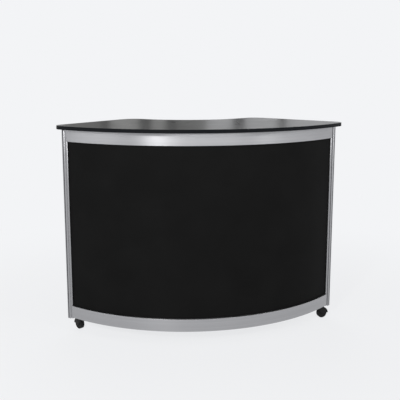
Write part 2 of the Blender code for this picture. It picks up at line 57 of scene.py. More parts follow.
RINGS = {"front": (FRONT_RING_RADIUS, -1), "rear": (REAR_RING_RADIUS, 1)}
GAP = 0.0003

# Octagonal upright
UPRIGHT_FACETS = 8
UPRIGHT_HALF = 0.019
UPRIGHT_BORE_RADIUS = 0.004
UPRIGHT_EASE = 0.0008
SLOT_MOUTH = 0.0055
SLOT_WIDTH = 0.008
SLOT_LIP = 0.0022
SLOT_DEPTH = 0.0065
SLOT_EASE = 0.0004

# Hollow beam: heights are for the bottom beam, and the top beam is the same upside down
BEAM_HALF = 0.015
BEAM_WALL = 0.0025
BEAM_EASE = 0.0006
BEAM_END = 0.0193
CHAMBER_HALF = BEAM_HALF - BEAM_WALL
GROOVE_HALF = 0.0025
GROOVE_DEPTH = 0.012
LIP_REACH = 0.004
LIP_LOW = 0.0163
LIP_HIGH = 0.0188

# Tension lock in each beam end
LOCK_START = BEAM_END + GAP
LOCK_LENGTH = 0.026
LOCK_HEIGHT = 0.034
LOCK_LEVEL = 0.0275
LOCK_HALF_WIDTH = 0.0101
LOCK_TONGUE_HALF = 0.002
LOCK_TONGUE_TIP = 0.0145
LOCK_SCREW_X = LOCK_START + LOCK_LENGTH / 2
LOCK_SCREW_RADIUS = 0.0055
LOCK_SCREW_RECESS = 0.0005
LOCK_EASE = 0.0006
HEX_KEY_RADIUS = 0.0029
HEX_KEY_DEPTH = 0.003

# Panels
PANEL_HALF = 0.002
PANEL_EDGE = 0.014
PANEL_EASE = 0.0005

# Worktop, its edge band and its battens
WORKTOP_FRONT_RADIUS = 1.045
WORKTOP_REAR_RADIUS = 0.455
WORKTOP_SIDE = 0.0365
WORKTOP_FRONT_ROUND = 0.060
WORKTOP_REAR_ROUND = 0.080
BAND_THICKNESS = 0.002
BAND_EASE = 0.0006
BOARD_EASE = 0.0003
BATTEN_NEAR = 0.0153
BATTEN_FAR = 0.0553
BATTEN_EASE = 0.0015
BATTEN_SCREW_SHARES = (0.12, 0.5, 0.88)

# Base board, shelf and its rails
INNER_FRONT_RADIUS = 0.9697
INNER_REAR_RADIUS = 0.5303
INNER_SIDE = -0.0153
INNER_BOARD_EASE = 0.0008
RAIL_BACK = 0.0023
RAIL_WALL = 0.0025
RAIL_WIDTH = 0.036
RAIL_EASE = 0.0007

# Casters, about the swivel axis with the wheel trailing along +X
WHEEL_RADIUS = 0.0275
WHEEL_HALF_WIDTH = 0.01075
WHEEL_TREAD_ROUND = 0.003
WHEEL_RIM = 0.006
WHEEL_DISH = 0.002
WHEEL_BORE_RADIUS = 0.0032
WHEEL_EASE = 0.0004
HUB_RADIUS = 0.008
AXLE_RADIUS = 0.003
AXLE_HALF_LENGTH = 0.01465
AXLE_DOME = 0.0007
HOOD_INNER_RADIUS = 0.0305
HOOD_OUTER_RADIUS = 0.033
HOOD_INNER_Y = 0.01135
HOOD_OUTER_Y = 0.01385
HOOD_SHOULDER = 0.0018
HOOD_BACK_ANGLE = math.radians(1.0)
HOOD_FRONT_ANGLE = math.radians(142.0)
CHEEK_RADIUS = 0.0309
CHEEK_EASE = 0.0006
AXLE_BOSS_RADIUS = 0.008
SOCKET_RADIUS = 0.00715
SOCKET_FLOOR_Z = 0.046
SOCKET_TOP_Z = 0.0655
KINGPIN_RADIUS = 0.004
KINGPIN_PLAY = 0.0002
KINGPIN_LENGTH = 0.016
PLATE_Z = 0.066
PLATE_THICKNESS = 0.0025
PLATE_SIZE = 0.038
PLATE_ROUND = 0.005
PLATE_EASE = 0.0004
PLATE_SCREW_OFFSET = 0.0128
CASTERS = ["front_left", "front_right", "front_centre", "rear_left", "rear_right"]

# Round-head screws under the caster plates and the battens
SCREW_RADIUS = 0.0032
SCREW_HEIGHT = 0.0016
SCREW_DOME = 0.0012
SCREW_CROSS = 0.0036
SCREW_CROSS_WIDTH = 0.0008
SCREW_CROSS_DEPTH = 0.0010

# Fineness of round shapes
RING_STEPS = 96
CORNER_STEPS = 20
WHEEL_STEPS = 72
TREAD_STEPS = 6
PIN_SIDES = 40
EASE_STEPS = 2
EASE_ANGLE = math.radians(30.0)
SCREW_DOME_STEPS = 5
AXLE_DOME_STEPS = 4
HOOD_SHOULDER_STEPS = 5
PLATE_ROUND_STEPS = 8
POINT_SIZE = 0.001
MERGE_DISTANCE = 0.00001
SMOOTH_ANGLE = math.radians(20.0)
ROUND_SMOOTH_ANGLE = math.radians(40.0)

# Directions, and the share along one past which an edge or a face counts as lying along it
ACROSS = Vector((1.0, 0.0, 0.0))
DEEP = Vector((0.0, 1.0, 0.0))
UP = Vector((0.0, 0.0, 1.0))
STRAIGHT = 0.99

# Heights and the arc centre, from the frame
BASE_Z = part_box("beam_front_bottom")[0].z
BEAM_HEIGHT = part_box("beam_front_bottom")[1].z - BASE_Z
TOP_BEAM_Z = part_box("beam_front_top")[0].z
UPRIGHT_Z, TOP_Z = (corner.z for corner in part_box("upright_front_left"))
ARC_CENTRE = Vector((0.0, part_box("beam_front_bottom")[0].y + FRONT_RING_RADIUS + BEAM_HALF, 0.0))
GROOVE_FLOOR = BEAM_HEIGHT - GROOVE_DEPTH
CHAMBER_TOP = GROOVE_FLOOR - BEAM_WALL

# Caster joints, and how far a wheel trails its swivel axis, from the frame
JOINTS = {joint["name"]: joint for joint in frame["record"]["behaviour"]["joints"]}
FIRST_SWIVEL = Vector(JOINTS["caster_front_left_swivel"]["pos_m"])
FIRST_HUB = Vector(JOINTS["caster_front_left_wheel_roll"]["pos_m"])
TRAIL = (FIRST_HUB - FIRST_SWIVEL).xy.length


# Modelling helpers


def radial(angle):
    """Unit vector away from the arc centre, at a turn from the middle of the front."""
    return Vector((math.sin(angle), -math.cos(angle), 0.0))


def upright_centre(ring_radius, side):
    """Centre of an upright, at floor level."""
    return ARC_CENTRE + radial(side * HALF_ANGLE) * ring_radius


def activate(piece):
    """Make one piece the only selected object, and the active one."""
    bpy.ops.object.select_all(action="DESELECT")
    piece.select_set(True)
    bpy.context.view_layer.objects.active = piece


@contextmanager
def editing(piece, elements="FACE"):
    """Edit mode on one piece with nothing selected."""
    activate(piece)
    bpy.ops.object.mode_set(mode="EDIT")
    bpy.ops.mesh.select_mode(type=elements)
    bpy.ops.mesh.select_all(action="DESELECT")
    yield
    bpy.ops.object.mode_set(mode="OBJECT")


def pick_faces(piece, test):
    """Select the faces whose middle and normal pass a test."""
    mesh = bmesh.from_edit_mesh(piece.data)
    for face in mesh.faces:
        if test(face.calc_center_median(), face.normal):
            face.select_set(True)
    bmesh.update_edit_mesh(piece.data)


def round_edges(piece, width, steps, test):
    """Round the edges whose middle and direction pass a test."""
    with editing(piece, "EDGE"):
        mesh = bmesh.from_edit_mesh(piece.data)
        for edge in mesh.edges:
            start, end = (vert.co for vert in edge.verts)
            if test((start + end) / 2, (end - start).normalized()):
                edge.select_set(True)
        bmesh.update_edit_mesh(piece.data)
        bpy.ops.mesh.bevel(offset=width, segments=steps, affect="EDGES")


def slice_across(direction, places):
    """Cut the mesh in edit mode across a direction, at each place along it, and select nothing."""
    for place in places:
        bpy.ops.mesh.select_all(action="SELECT")
        bpy.ops.mesh.bisect(plane_co=direction * place, plane_no=direction)
    bpy.ops.mesh.select_all(action="DESELECT")


def run(move):
    """Draw what is selected in edit mode out in a straight line."""
    bpy.ops.mesh.extrude_region_move(TRANSFORM_OT_translate={"value": move})


def sweep(centre, turn, steps, axis=UP):
    """Draw what is selected in edit mode round a centre, anticlockwise for a positive turn."""
    bpy.ops.mesh.spin(steps=steps, angle=-turn, center=centre, axis=axis)


def merge_doubles():
    """Select the whole mesh in edit mode and merge its doubles."""
    bpy.ops.mesh.select_all(action="SELECT")
    bpy.ops.mesh.remove_doubles(threshold=MERGE_DISTANCE)


def close_up():
    """Merge the doubles of the mesh in edit mode and turn its faces outwards."""
    merge_doubles()
    bpy.ops.mesh.normals_make_consistent(inside=False)


def settle(name, size=(1.0, 1.0, 1.0)):
    """Name the object just added and move its size, place and turn into its mesh."""
    piece = bpy.context.object
    piece.name = name
    piece.data.name = name
    piece.scale = size
    bpy.ops.object.transform_apply(location=True, rotation=True, scale=True)
    return piece


def blank(name):
    """Object with an empty mesh, to be drawn in edit mode."""
    bpy.ops.object.add(type="MESH")
    return settle(name)


def put(piece, place):
    """Move a piece by a matrix, with its new place in its mesh."""
    activate(piece)
    piece.matrix_world = place
    bpy.ops.object.transform_apply(location=True, rotation=True, scale=True)
    return piece


def copy_of(piece, name, place):
    """Copy of a piece with its own mesh, moved by a matrix."""
    activate(piece)
    bpy.ops.object.duplicate()
    twin = bpy.context.object
    twin.name = name
    twin.data.name = name
    return put(twin, place)


def block(name, low, high):
    """Cuboid between two corners."""
    low, high = Vector(low), Vector(high)
    bpy.ops.object.select_all(action="DESELECT")
    bpy.ops.mesh.primitive_cube_add(size=1.0, location=(low + high) / 2)
    return settle(name, high - low)


def rod(name, radius, start, end, sides=PIN_SIDES):
    """Cylinder between two points."""
    start, end = Vector(start), Vector(end)
    bpy.ops.object.select_all(action="DESELECT")
    bpy.ops.mesh.primitive_cylinder_add(
        vertices=sides,
        radius=radius,
        depth=(end - start).length,
        location=(start + end) / 2,
        rotation=(end - start).to_track_quat("Z", "Y").to_euler(),
    )
    return settle(name)


def section(name, left, right, low, high):
    """Flat section standing in the XZ plane: X runs across it and Z up it."""
    bpy.ops.object.select_all(action="DESELECT")
    bpy.ops.mesh.primitive_plane_add(
        size=1.0,
        location=((left + right) / 2, 0.0, (low + high) / 2),
        rotation=(math.pi / 2, 0.0, 0.0),
    )
    return settle(name, (right - left, high - low, 1.0))


def hollow(piece, across, heights, is_empty):
    """Cut a section along upright and level lines and take away its empty cells."""
    with editing(piece):
        slice_across(ACROSS, across)
        slice_across(UP, heights)
        pick_faces(piece, lambda middle, normal: is_empty(middle.x, middle.z))
        bpy.ops.mesh.delete(type="FACE")
    return piece


def bend_along_ring(piece, ring_radius, level, half_angle):
    """Sweep a section round the arc centre: its X = 0 line follows the ring."""
    start = radial(-half_angle)
    turn = Matrix.Rotation(-half_angle, 4, "Z") @ Matrix.Rotation(-math.pi / 2, 4, "Z")
    put(piece, Matrix.Translation(ARC_CENTRE + start * ring_radius + UP * level) @ turn)
    with editing(piece):
        bpy.ops.mesh.select_all(action="SELECT")
        sweep(ARC_CENTRE, 2 * half_angle, RING_STEPS)
        close_up()
    return piece


def draw_along_side(piece, side, near, far, level):
    """Draw a section out along a side of the plan, between two distances from the arc centre."""
    outwards = radial(side * HALF_ANGLE)
    turn = Matrix.Rotation(side * HALF_ANGLE, 4, "Z")
    put(piece, Matrix.Translation(ARC_CENTRE + outwards * near + UP * level) @ turn)
    with editing(piece):
        bpy.ops.mesh.select_all(action="SELECT")
        run(outwards * (far - near))
        close_up()
    return piece


def soften(piece, width, steps=EASE_STEPS):
    """Round every edge that turns by more than the ease angle."""
    activate(piece)
    modifier = piece.modifiers.new("eased_edges", "BEVEL")
    modifier.width = width
    modifier.segments = steps
    modifier.limit_method = "ANGLE"
    modifier.angle_limit = EASE_ANGLE
    bpy.ops.object.modifier_apply(modifier=modifier.name)
    return piece


def combine(piece, tool, operation):
    """Cut a tool from a piece, or weld it on, and remove the tool."""
    activate(piece)
    modifier = piece.modifiers.new(operation.lower(), "BOOLEAN")
    modifier.operation = operation
    modifier.object = tool
    bpy.ops.object.modifier_apply(modifier=modifier.name)
    bpy.data.objects.remove(tool)
    return piece


def dress(piece, material, slot, *nodes, body="root", smooth=SMOOTH_ANGLE):
    """Shade a finished piece, give it its finish and set it in the frame."""
    activate(piece)
    bpy.ops.object.shade_smooth_by_angle(angle=smooth)
    piece.data.materials.clear()
    piece.data.materials.append(material)
    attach(piece, body)
    if nodes:
        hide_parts(*nodes)


# Plan outlines, drawn by one point that sweeps and runs in edit mode


def start_point(place):
    """Add one selected point to the mesh in edit mode."""
    bpy.ops.mesh.select_all(action="DESELECT")
    bpy.ops.mesh.primitive_plane_add(size=POINT_SIZE, location=place)
    bpy.ops.mesh.merge(type="CENTER")


def trace_sector(level, front_radius, rear_radius, side, front_round=0.0, rear_round=0.0):
    """Trace a ring sector from the middle of its front, anticlockwise.

    side is how far its straight edges stand outside the lines through the uprights.
    """
    outwards = radial(HALF_ANGLE)
    sideways = Vector((math.cos(HALF_ANGLE), math.sin(HALF_ANGLE), 0.0))

    def corner(radius, inset):
        """Reach, centre and turn from the front's middle of a corner's round."""
        reach = math.sqrt(radius ** 2 - inset ** 2)
        centre = outwards * reach + sideways * inset
        return reach, centre, math.atan2(centre.y, centre.x) + math.pi / 2

    front_reach, front_corner, front_turn = corner(front_radius - front_round, side - front_round)
    rear_reach, rear_corner, rear_turn = corner(rear_radius + rear_round, side - rear_round)
    middle = ARC_CENTRE + UP * level
    mirror = Matrix.Scale(-1.0, 3, ACROSS)
    front_bend = HALF_ANGLE + math.pi / 2 - front_turn
    rear_bend = rear_turn + math.pi / 2 - HALF_ANGLE
    side_length = front_reach - rear_reach

    start_point(middle + radial(0.0) * front_radius)
    sweep(middle, front_turn, RING_STEPS // 2)
    if front_round:
        sweep(middle + front_corner, front_bend, CORNER_STEPS)
    run(-outwards * side_length)
    if rear_round:
        sweep(middle + rear_corner, rear_bend, CORNER_STEPS)
    sweep(middle, -2 * rear_turn, RING_STEPS)
    if rear_round:
        sweep(middle + mirror @ rear_corner, rear_bend, CORNER_STEPS)
    run(mirror @ outwards * side_length)
    if front_round:
        sweep(middle + mirror @ front_corner, front_bend, CORNER_STEPS)
    sweep(middle, front_turn, RING_STEPS // 2)


def worktop_outline(inset):
    """Sizes of the worktop's outline, drawn in from its edge."""
    return (
        WORKTOP_FRONT_RADIUS - inset,
        WORKTOP_REAR_RADIUS + inset,
        WORKTOP_SIDE - inset,
        WORKTOP_FRONT_ROUND - inset,
        WORKTOP_REAR_ROUND - inset,
    )


def raise_outline(height):
    """Close the outline in edit mode, fill it and draw it up."""
    merge_doubles()
    bpy.ops.mesh.edge_face_add()
    run(UP * height)
    close_up()


def flat_board(name, low, high, *outline):
    """Board with a ring-sector outline between two heights."""
    piece = blank(name)
    with editing(piece, "VERT"):
        trace_sector(low, *outline)
        raise_outline(high - low)
    return piece


def edge_band(name, low, high):
    """Band round the worktop: two outlines bridged and drawn up."""
    piece = blank(name)
    with editing(piece, "VERT"):
        for inset in (0.0, BAND_THICKNESS):
            trace_sector(low, *worktop_outline(inset))
        merge_doubles()
        bpy.ops.mesh.bridge_edge_loops()
        bpy.ops.mesh.select_all(action="SELECT")
        run(UP * (high - low))
        close_up()
    return piece


# Finishes

# Die lines on the aluminium bars, in millimetres, and the shader's turn for lines that run level
DIE_LINE_LENGTH = 900
DIE_LINE_WIDTH = 7
QUARTER_TURN = 0.25


def linear(colour):
    """Linear RGBA of an sRGB hex colour."""
    values = [int(colour[index:index + 2], 16) / 255 for index in (1, 3, 5)]
    channels = [v / 12.92 if v <= 0.04045 else ((v + 0.055) / 1.055) ** 2.4 for v in values]
    return (*channels, 1.0)


def per_metre(millimetres):
    """Texture scale of a pattern that repeats at a real size."""
    return 1000.0 / millimetres


def add_node(tree, kind, links=None, values=None, stops=None, **settings):
    """Add a shader node with its settings, socket values, ramp stops and links."""
    node = tree.nodes.new("ShaderNode" + kind)
    for name, value in settings.items():
        setattr(node, name, value)
    for socket, value in (values or {}).items():
        node.inputs[socket].default_value = value
    for socket, source in (links or {}).items():
        tree.links.new(source, node.inputs[socket])
    for index, (position, colour) in enumerate(stops or []):
        ramp = node.color_ramp.elements
        stop = ramp[index] if index < 2 else ramp.new(position)
        stop.position = position
        stop.color = linear(colour)
    return node


def new_finish(name, **values):
    """Material with its Principled shader's constants set; returns it, its tree and place."""
    material = bpy.data.materials.new(name)
    material.use_nodes = True
    tree = material.node_tree
    shader = tree.nodes["Principled BSDF"]
    for socket, value in values.items():
        shader.inputs[socket.replace("_", " ")].default_value = value
    place = add_node(tree, "TexCoord").outputs["Object"]
    return material, tree, place


def apply_patterns(material, colour, roughness, bumps=None):
    """Drive a finish by patterns, and return it.

    colour is a pattern and its ramp stops, roughness a pattern and its range, and bumps a pattern
    with its strength and its depth in metres.
    """
    tree = material.node_tree
    shader = tree.nodes["Principled BSDF"]
    pattern, stops = colour
    tone = add_node(tree, "ValToRGB", {"Fac": pattern.outputs[0]}, stops=stops)
    tree.links.new(tone.outputs["Color"], shader.inputs["Base Color"])
    pattern, smoothest, roughest = roughness
    gloss = add_node(
        tree, "MapRange", {"Value": pattern.outputs[0]}, {"To Min": smoothest, "To Max": roughest},
    )
    tree.links.new(gloss.outputs["Result"], shader.inputs["Roughness"])
    if bumps:
        pattern, strength, depth = bumps
        relief = add_node(
            tree, "Bump", {"Height": pattern.outputs[0]}, {"Strength": strength, "Distance": depth},
        )
        tree.links.new(relief.outputs["Normal"], shader.inputs["Normal"])
    return material


def anodised_aluminium(name, upright, roughness):
    """Natural anodised aluminium, extruded and etched: a satin grey with soft wide highlights.

    Die lines run along the bar and spread its highlights across them. The real lines are under
    1 mm apart and would vanish, so they are drawn several millimetres wide and faint.
    """
    material, tree, place = new_finish(
        name, Metallic=1.0, Anisotropic=0.65, Anisotropic_Rotation=0.0 if upright else QUARTER_TURN,
    )
    along, across = per_metre(DIE_LINE_LENGTH), per_metre(DIE_LINE_WIDTH)
    line_scale = (across, across, along) if upright else (along, along, across)
    stretched = add_node(tree, "Mapping", {"Vector": place}, {"Scale": line_scale})
    lines = add_node(
        tree, "TexNoise", {"Vector": stretched.outputs[0]}, {"Scale": 1.0, "Detail": 5.0, "Roughness": 0.6},
    )
    clouds = add_node(tree, "TexNoise", {"Vector": place}, {"Scale": per_metre(90), "Detail": 3.0})
    return apply_patterns(
        material,
        colour=(lines, [(0.30, "#9f9fa1"), (0.70, "#a6a6a8")]),
        roughness=(clouds, *roughness),
        bumps=(lines, 0.05, 0.0002),
    )


def black_panel_sheet():
    """Compact laminate sheet with a matt texture: an even black that hardly shines.

    The pressed texture's 0.3 mm grain is drawn at 4 mm so that it shows.
    """
    material, tree, place = new_finish("matt_black_compact_laminate", Specular_IOR_Level=0.03)
    grain = add_node(tree, "TexNoise", {"Vector": place}, {"Scale": per_metre(4), "Detail": 4.0})
    clouds = add_node(tree, "TexNoise", {"Vector": place}, {"Scale": per_metre(180), "Detail": 2.0})
    return apply_patterns(
        material,
        colour=(clouds, [(0.30, "#131313"), (0.70, "#161616")]),
        roughness=(grain, 0.48, 0.66),
        bumps=(grain, 0.03, 0.0003),
    )


def black_worktop_laminate():
    """High-pressure laminate pressed with a satin plate: black, mirrors the room softly at a low angle.

    Wiped smears change its gloss over a hand's width; the 0.5 mm pearl texture is drawn at 5 mm.
    """
    material, tree, place = new_finish("satin_black_laminate", Specular_IOR_Level=0.35)
    smears = add_node(tree, "TexNoise", {"Vector": place}, {"Scale": per_metre(120), "Detail": 4.0})
    pearl = add_node(tree, "TexNoise", {"Vector": place}, {"Scale": per_metre(5), "Detail": 3.0})
    return apply_patterns(
        material,
        colour=(pearl, [(0.30, "#121314"), (0.70, "#18191a")]),
        roughness=(smears, 0.24, 0.34),
        bumps=(pearl, 0.03, 0.0002),
    )


def black_edge_banding():
    """ABS edge banding, extruded and trimmed: near-black, a little shinier than the panel.

    The trimmer's lines run along it. They are finer than 1 mm and are drawn at 4 mm.
    """
    material, tree, place = new_finish("black_abs_edge_band", Specular_IOR_Level=0.06)
    level_lines = add_node(
        tree, "Mapping", {"Vector": place}, {"Scale": (per_metre(300), per_metre(300), per_metre(4))},
    )
    lines = add_node(tree, "TexNoise", {"Vector": level_lines.outputs[0]}, {"Scale": 1.0, "Detail": 3.0})
    return apply_patterns(
        material,
        colour=(lines, [(0.30, "#0f1114"), (0.70, "#131518")]),
        roughness=(lines, 0.34, 0.48),
        bumps=(lines, 0.05, 0.0002),
    )


def grey_melamine():
    """Melamine-faced chipboard, pressed with a fine pearl plate: flat light grey, faint speckle."""
    material, tree, place = new_finish("light_grey_melamine", Specular_IOR_Level=0.4)
    pearl = add_node(tree, "TexNoise", {"Vector": place}, {"Scale": per_metre(6), "Detail": 5.0})
    scuffs = add_node(tree, "TexNoise", {"Vector": place}, {"Scale": per_metre(150), "Detail": 4.0})
    return apply_patterns(
        material,
        colour=(pearl, [(0.35, "#9c9d9d"), (0.65, "#a8a9a8")]),
        roughness=(scuffs, 0.42, 0.58),
        bumps=(pearl, 0.06, 0.0003),
    )


def birch_plywood():
    """Sawn birch plywood: thin light and dark plies on its edges, and long pale grain on its face."""
    material, tree, place = new_finish("birch_plywood", Specular_IOR_Level=0.3)
    plies = add_node(
        tree, "TexWave", {"Vector": place}, {"Scale": per_metre(1.5) / (2 * math.pi), "Distortion": 0.3},
        bands_direction="Z",
    )
    along = add_node(
        tree, "Mapping", {"Vector": place}, {"Scale": (per_metre(60), per_metre(60), per_metre(4))},
    )
    grain = add_node(tree, "TexNoise", {"Vector": along.outputs[0]}, {"Scale": 1.0, "Detail": 5.0})
    weave = add_node(
        tree, "Math", {0: plies.outputs["Fac"], 1: grain.outputs["Fac"]}, operation="MULTIPLY",
    )
    return apply_patterns(
        material,
        colour=(weave, [(0.10, "#b08d63"), (0.60, "#d3b78c")]),
        roughness=(grain, 0.55, 0.75),
        bumps=(weave, 0.15, 0.0003),
    )


def zinc_plated_steel():
    """Pressed steel, zinc plated: bright cool grey with a cloudy sheen and tiny handling marks."""
    material, tree, place = new_finish("zinc_plated_steel", Metallic=1.0)
    clouds = add_node(tree, "TexNoise", {"Vector": place}, {"Scale": per_metre(12), "Detail": 4.0})
    marks = add_node(tree, "TexNoise", {"Vector": place}, {"Scale": per_metre(1.5), "Detail": 2.0})
    return apply_patterns(
        material,
        colour=(clouds, [(0.30, "#b2b5b7"), (0.70, "#c7c9cb")]),
        roughness=(clouds, 0.26, 0.42),
        bumps=(marks, 0.08, 0.0001),
    )


def black_oxide_steel():
    """Turned steel pin, blackened in a hot oxide bath: dark blue-grey with a thin oily sheen."""
    material, tree, place = new_finish("black_oxide_steel", Metallic=1.0)
    clouds = add_node(tree, "TexNoise", {"Vector": place}, {"Scale": per_metre(3), "Detail": 3.0})
    return apply_patterns(
        material,
        colour=(clouds, [(0.30, "#1e1e20"), (0.70, "#29292b")]),
        roughness=(clouds, 0.38, 0.52),
    )


def moulded_nylon():
    """Injection-moulded nylon, spark-eroded tool: soft black with a fine grain, drawn at 1.5 mm."""
    material, tree, place = new_finish("moulded_black_nylon", Specular_IOR_Level=0.16)
    grain = add_node(tree, "TexNoise", {"Vector": place}, {"Scale": per_metre(1.5), "Detail": 3.0})
    flow = add_node(tree, "TexNoise", {"Vector": place}, {"Scale": per_metre(20), "Detail": 2.0})
    return apply_patterns(
        material,
        colour=(flow, [(0.30, "#101010"), (0.70, "#151515")]),
        roughness=(grain, 0.40, 0.58),
        bumps=(grain, 0.12, 0.0001),
    )


def polyurethane_wheel():
    """Cast polyurethane: dull black, its running surface scuffed to a dusty dark grey in patches."""
    material, tree, place = new_finish("black_polyurethane", Specular_IOR_Level=0.16)
    scuffs = add_node(tree, "TexNoise", {"Vector": place}, {"Scale": per_metre(8), "Detail": 5.0})
    return apply_patterns(
        material,
        colour=(scuffs, [(0.45, "#101010"), (0.75, "#1c1c1b")]),
        roughness=(scuffs, 0.45, 0.75),
        bumps=(scuffs, 0.10, 0.0002),
    )


# Frame: uprights, beams and locks


def model_upright():
    """Octagonal bar with a T-slot in every facet and a bore, its edges eased."""
    facet_turn = 2 * math.pi / UPRIGHT_FACETS
    bpy.ops.object.select_all(action="DESELECT")
    bpy.ops.mesh.primitive_cylinder_add(
        vertices=UPRIGHT_FACETS,
        radius=UPRIGHT_HALF / math.cos(facet_turn / 2),
        depth=TOP_Z - UPRIGHT_Z,
        location=UP * (UPRIGHT_Z + TOP_Z) / 2,
        rotation=(0.0, 0.0, facet_turn / 2),
    )
    upright = settle("upright")
    soften(upright, UPRIGHT_EASE)

    below, above = UPRIGHT_Z - UPRIGHT_HALF, TOP_Z + UPRIGHT_HALF
    floor = UPRIGHT_HALF - SLOT_DEPTH
    slot = block(
        "slot", (floor, -SLOT_MOUTH / 2, below), (2 * UPRIGHT_HALF, SLOT_MOUTH / 2, above),
    )
    undercut = block(
        "undercut", (floor, -SLOT_WIDTH / 2, below), (UPRIGHT_HALF - SLOT_LIP, SLOT_WIDTH / 2, above),
    )
    combine(slot, undercut, "UNION")
    for facet in range(UPRIGHT_FACETS):
        cutter = copy_of(slot, "slot_cutter", Matrix.Rotation(facet * facet_turn, 4, "Z"))
        combine(upright, cutter, "DIFFERENCE")
    bpy.data.objects.remove(slot)
    bore = rod("bore", UPRIGHT_BORE_RADIUS, UP * below, UP * above)
    combine(upright, bore, "DIFFERENCE")

    mouth_radius = math.hypot(UPRIGHT_HALF, SLOT_MOUTH / 2)
    round_edges(
        upright, SLOT_EASE, EASE_STEPS,
        lambda middle, along: abs(along.z) > STRAIGHT
        and abs(math.hypot(middle.x, middle.y) - mouth_radius) < SLOT_EASE / 2,
    )
    return upright


def add_uprights(aluminium):
    """Four uprights, copied from one."""
    upright = model_upright()
    for end, (ring_radius, inner) in RINGS.items():
        for side_name, side in SIDES.items():
            place = Matrix.Translation(upright_centre(ring_radius, side))
            piece = copy_of(upright, f"{end}_{side_name}_upright", place)
            dress(piece, aluminium, "upright_aluminium", f"upright_{end}_{side_name}")
    bpy.data.objects.remove(upright)


def beam_section(name, inner, at_top):
    """Section of a beam; inner is the sign of its inner side."""
    def height(up):
        return BEAM_HEIGHT - up if at_top else up

    def is_empty(out, up):
        inwards, rise = inner * out, height(up)
        in_groove = abs(out) < GROOVE_HALF and rise > GROOVE_FLOOR
        in_chamber = abs(out) < CHAMBER_HALF and BEAM_WALL < rise < CHAMBER_TOP
        beside_lip = inwards > BEAM_HALF and not LIP_LOW < rise < LIP_HIGH
        return in_groove or in_chamber or beside_lip

    left, right = sorted((-inner * BEAM_HALF, inner * (BEAM_HALF + LIP_REACH)))
    across = (-CHAMBER_HALF, -GROOVE_HALF, GROOVE_HALF, CHAMBER_HALF, inner * BEAM_HALF)
    heights = [height(up) for up in (BEAM_WALL, LIP_LOW, LIP_HIGH, CHAMBER_TOP, GROOVE_FLOOR)]
    return hollow(section(name, left, right, 0.0, BEAM_HEIGHT), across, heights, is_empty)


def beam_ends(beam):
    """Ends of a beam: name, upright centre, heading along the beam, sign of the inner side, bend.

    The bend is the ring's radius, negative where the beam bends away from its inner side, and
    nothing for a straight beam.
    """
    if beam in RINGS:
        ring_radius, inner = RINGS[beam]
        ends = []
        for side_name, side in SIDES.items():
            heading = side * HALF_ANGLE + (math.pi if side > 0 else 0.0)
            ends.append((
                side_name, upright_centre(ring_radius, side), heading, side * inner, -inner * ring_radius,
            ))
        return ends
    side = SIDES[beam]
    turn = side * HALF_ANGLE - math.pi / 2
    return [
        ("front", upright_centre(FRONT_RING_RADIUS, side), turn + math.pi, side, None),
        ("rear", upright_centre(REAR_RING_RADIUS, side), turn, -side, None),
    ]


def inner_face(bend):
    """How far a beam's inner face lies from its line, at the lock screw."""
    if bend is None:
        return BEAM_HALF
    bow = abs(bend) - math.sqrt(bend ** 2 - LOCK_SCREW_X ** 2)
    return BEAM_HALF + math.copysign(bow, bend)


def model_lock(name, face):
    """Lock about its screw's level: block, tongue, and a hexagon-socket screw towards +Y."""
    lock = block(
        name,
        (LOCK_START, -LOCK_HALF_WIDTH, -LOCK_HEIGHT / 2),
        (LOCK_START + LOCK_LENGTH, LOCK_HALF_WIDTH, LOCK_HEIGHT / 2),
    )
    with editing(lock):
        slice_across(DEEP, (-LOCK_TONGUE_HALF, LOCK_TONGUE_HALF))
        pick_faces(lock, lambda middle, normal: normal.x < -STRAIGHT and abs(middle.y) < LOCK_TONGUE_HALF)
        run((LOCK_TONGUE_TIP - LOCK_START, 0.0, 0.0))
    soften(lock, LOCK_EASE)

    screw_end = face - LOCK_SCREW_RECESS
    screw = rod(
        "screw",
        LOCK_SCREW_RADIUS,
        (LOCK_SCREW_X, LOCK_HALF_WIDTH / 2, 0.0),
        (LOCK_SCREW_X, screw_end, 0.0),
    )
    soften(screw, LOCK_EASE)
    key_hole = rod(
        "key_hole",
        HEX_KEY_RADIUS,
        (LOCK_SCREW_X, screw_end - HEX_KEY_DEPTH, 0.0),
        (LOCK_SCREW_X, screw_end + HEX_KEY_DEPTH, 0.0),
        sides=6,
    )
    combine(screw, key_hole, "DIFFERENCE")
    return combine(lock, screw, "UNION")


def model_beam(name, beam, at_top, level):
    """Beam bent along its ring or straight along its side, its edges eased."""
    if beam in RINGS:
        ring_radius, inner = RINGS[beam]
        setback = math.asin(BEAM_END / (ring_radius - BEAM_HALF - LIP_REACH))
        bar = beam_section(name, inner, at_top)
        bend_along_ring(bar, ring_radius, level, HALF_ANGLE - setback)
    else:
        side = SIDES[beam]
        bar = beam_section(name, -side, at_top)
        near, far = REAR_RING_RADIUS + BEAM_END, FRONT_RING_RADIUS - BEAM_END
        draw_along_side(bar, side, near, far, level)
    return soften(bar, BEAM_EASE)


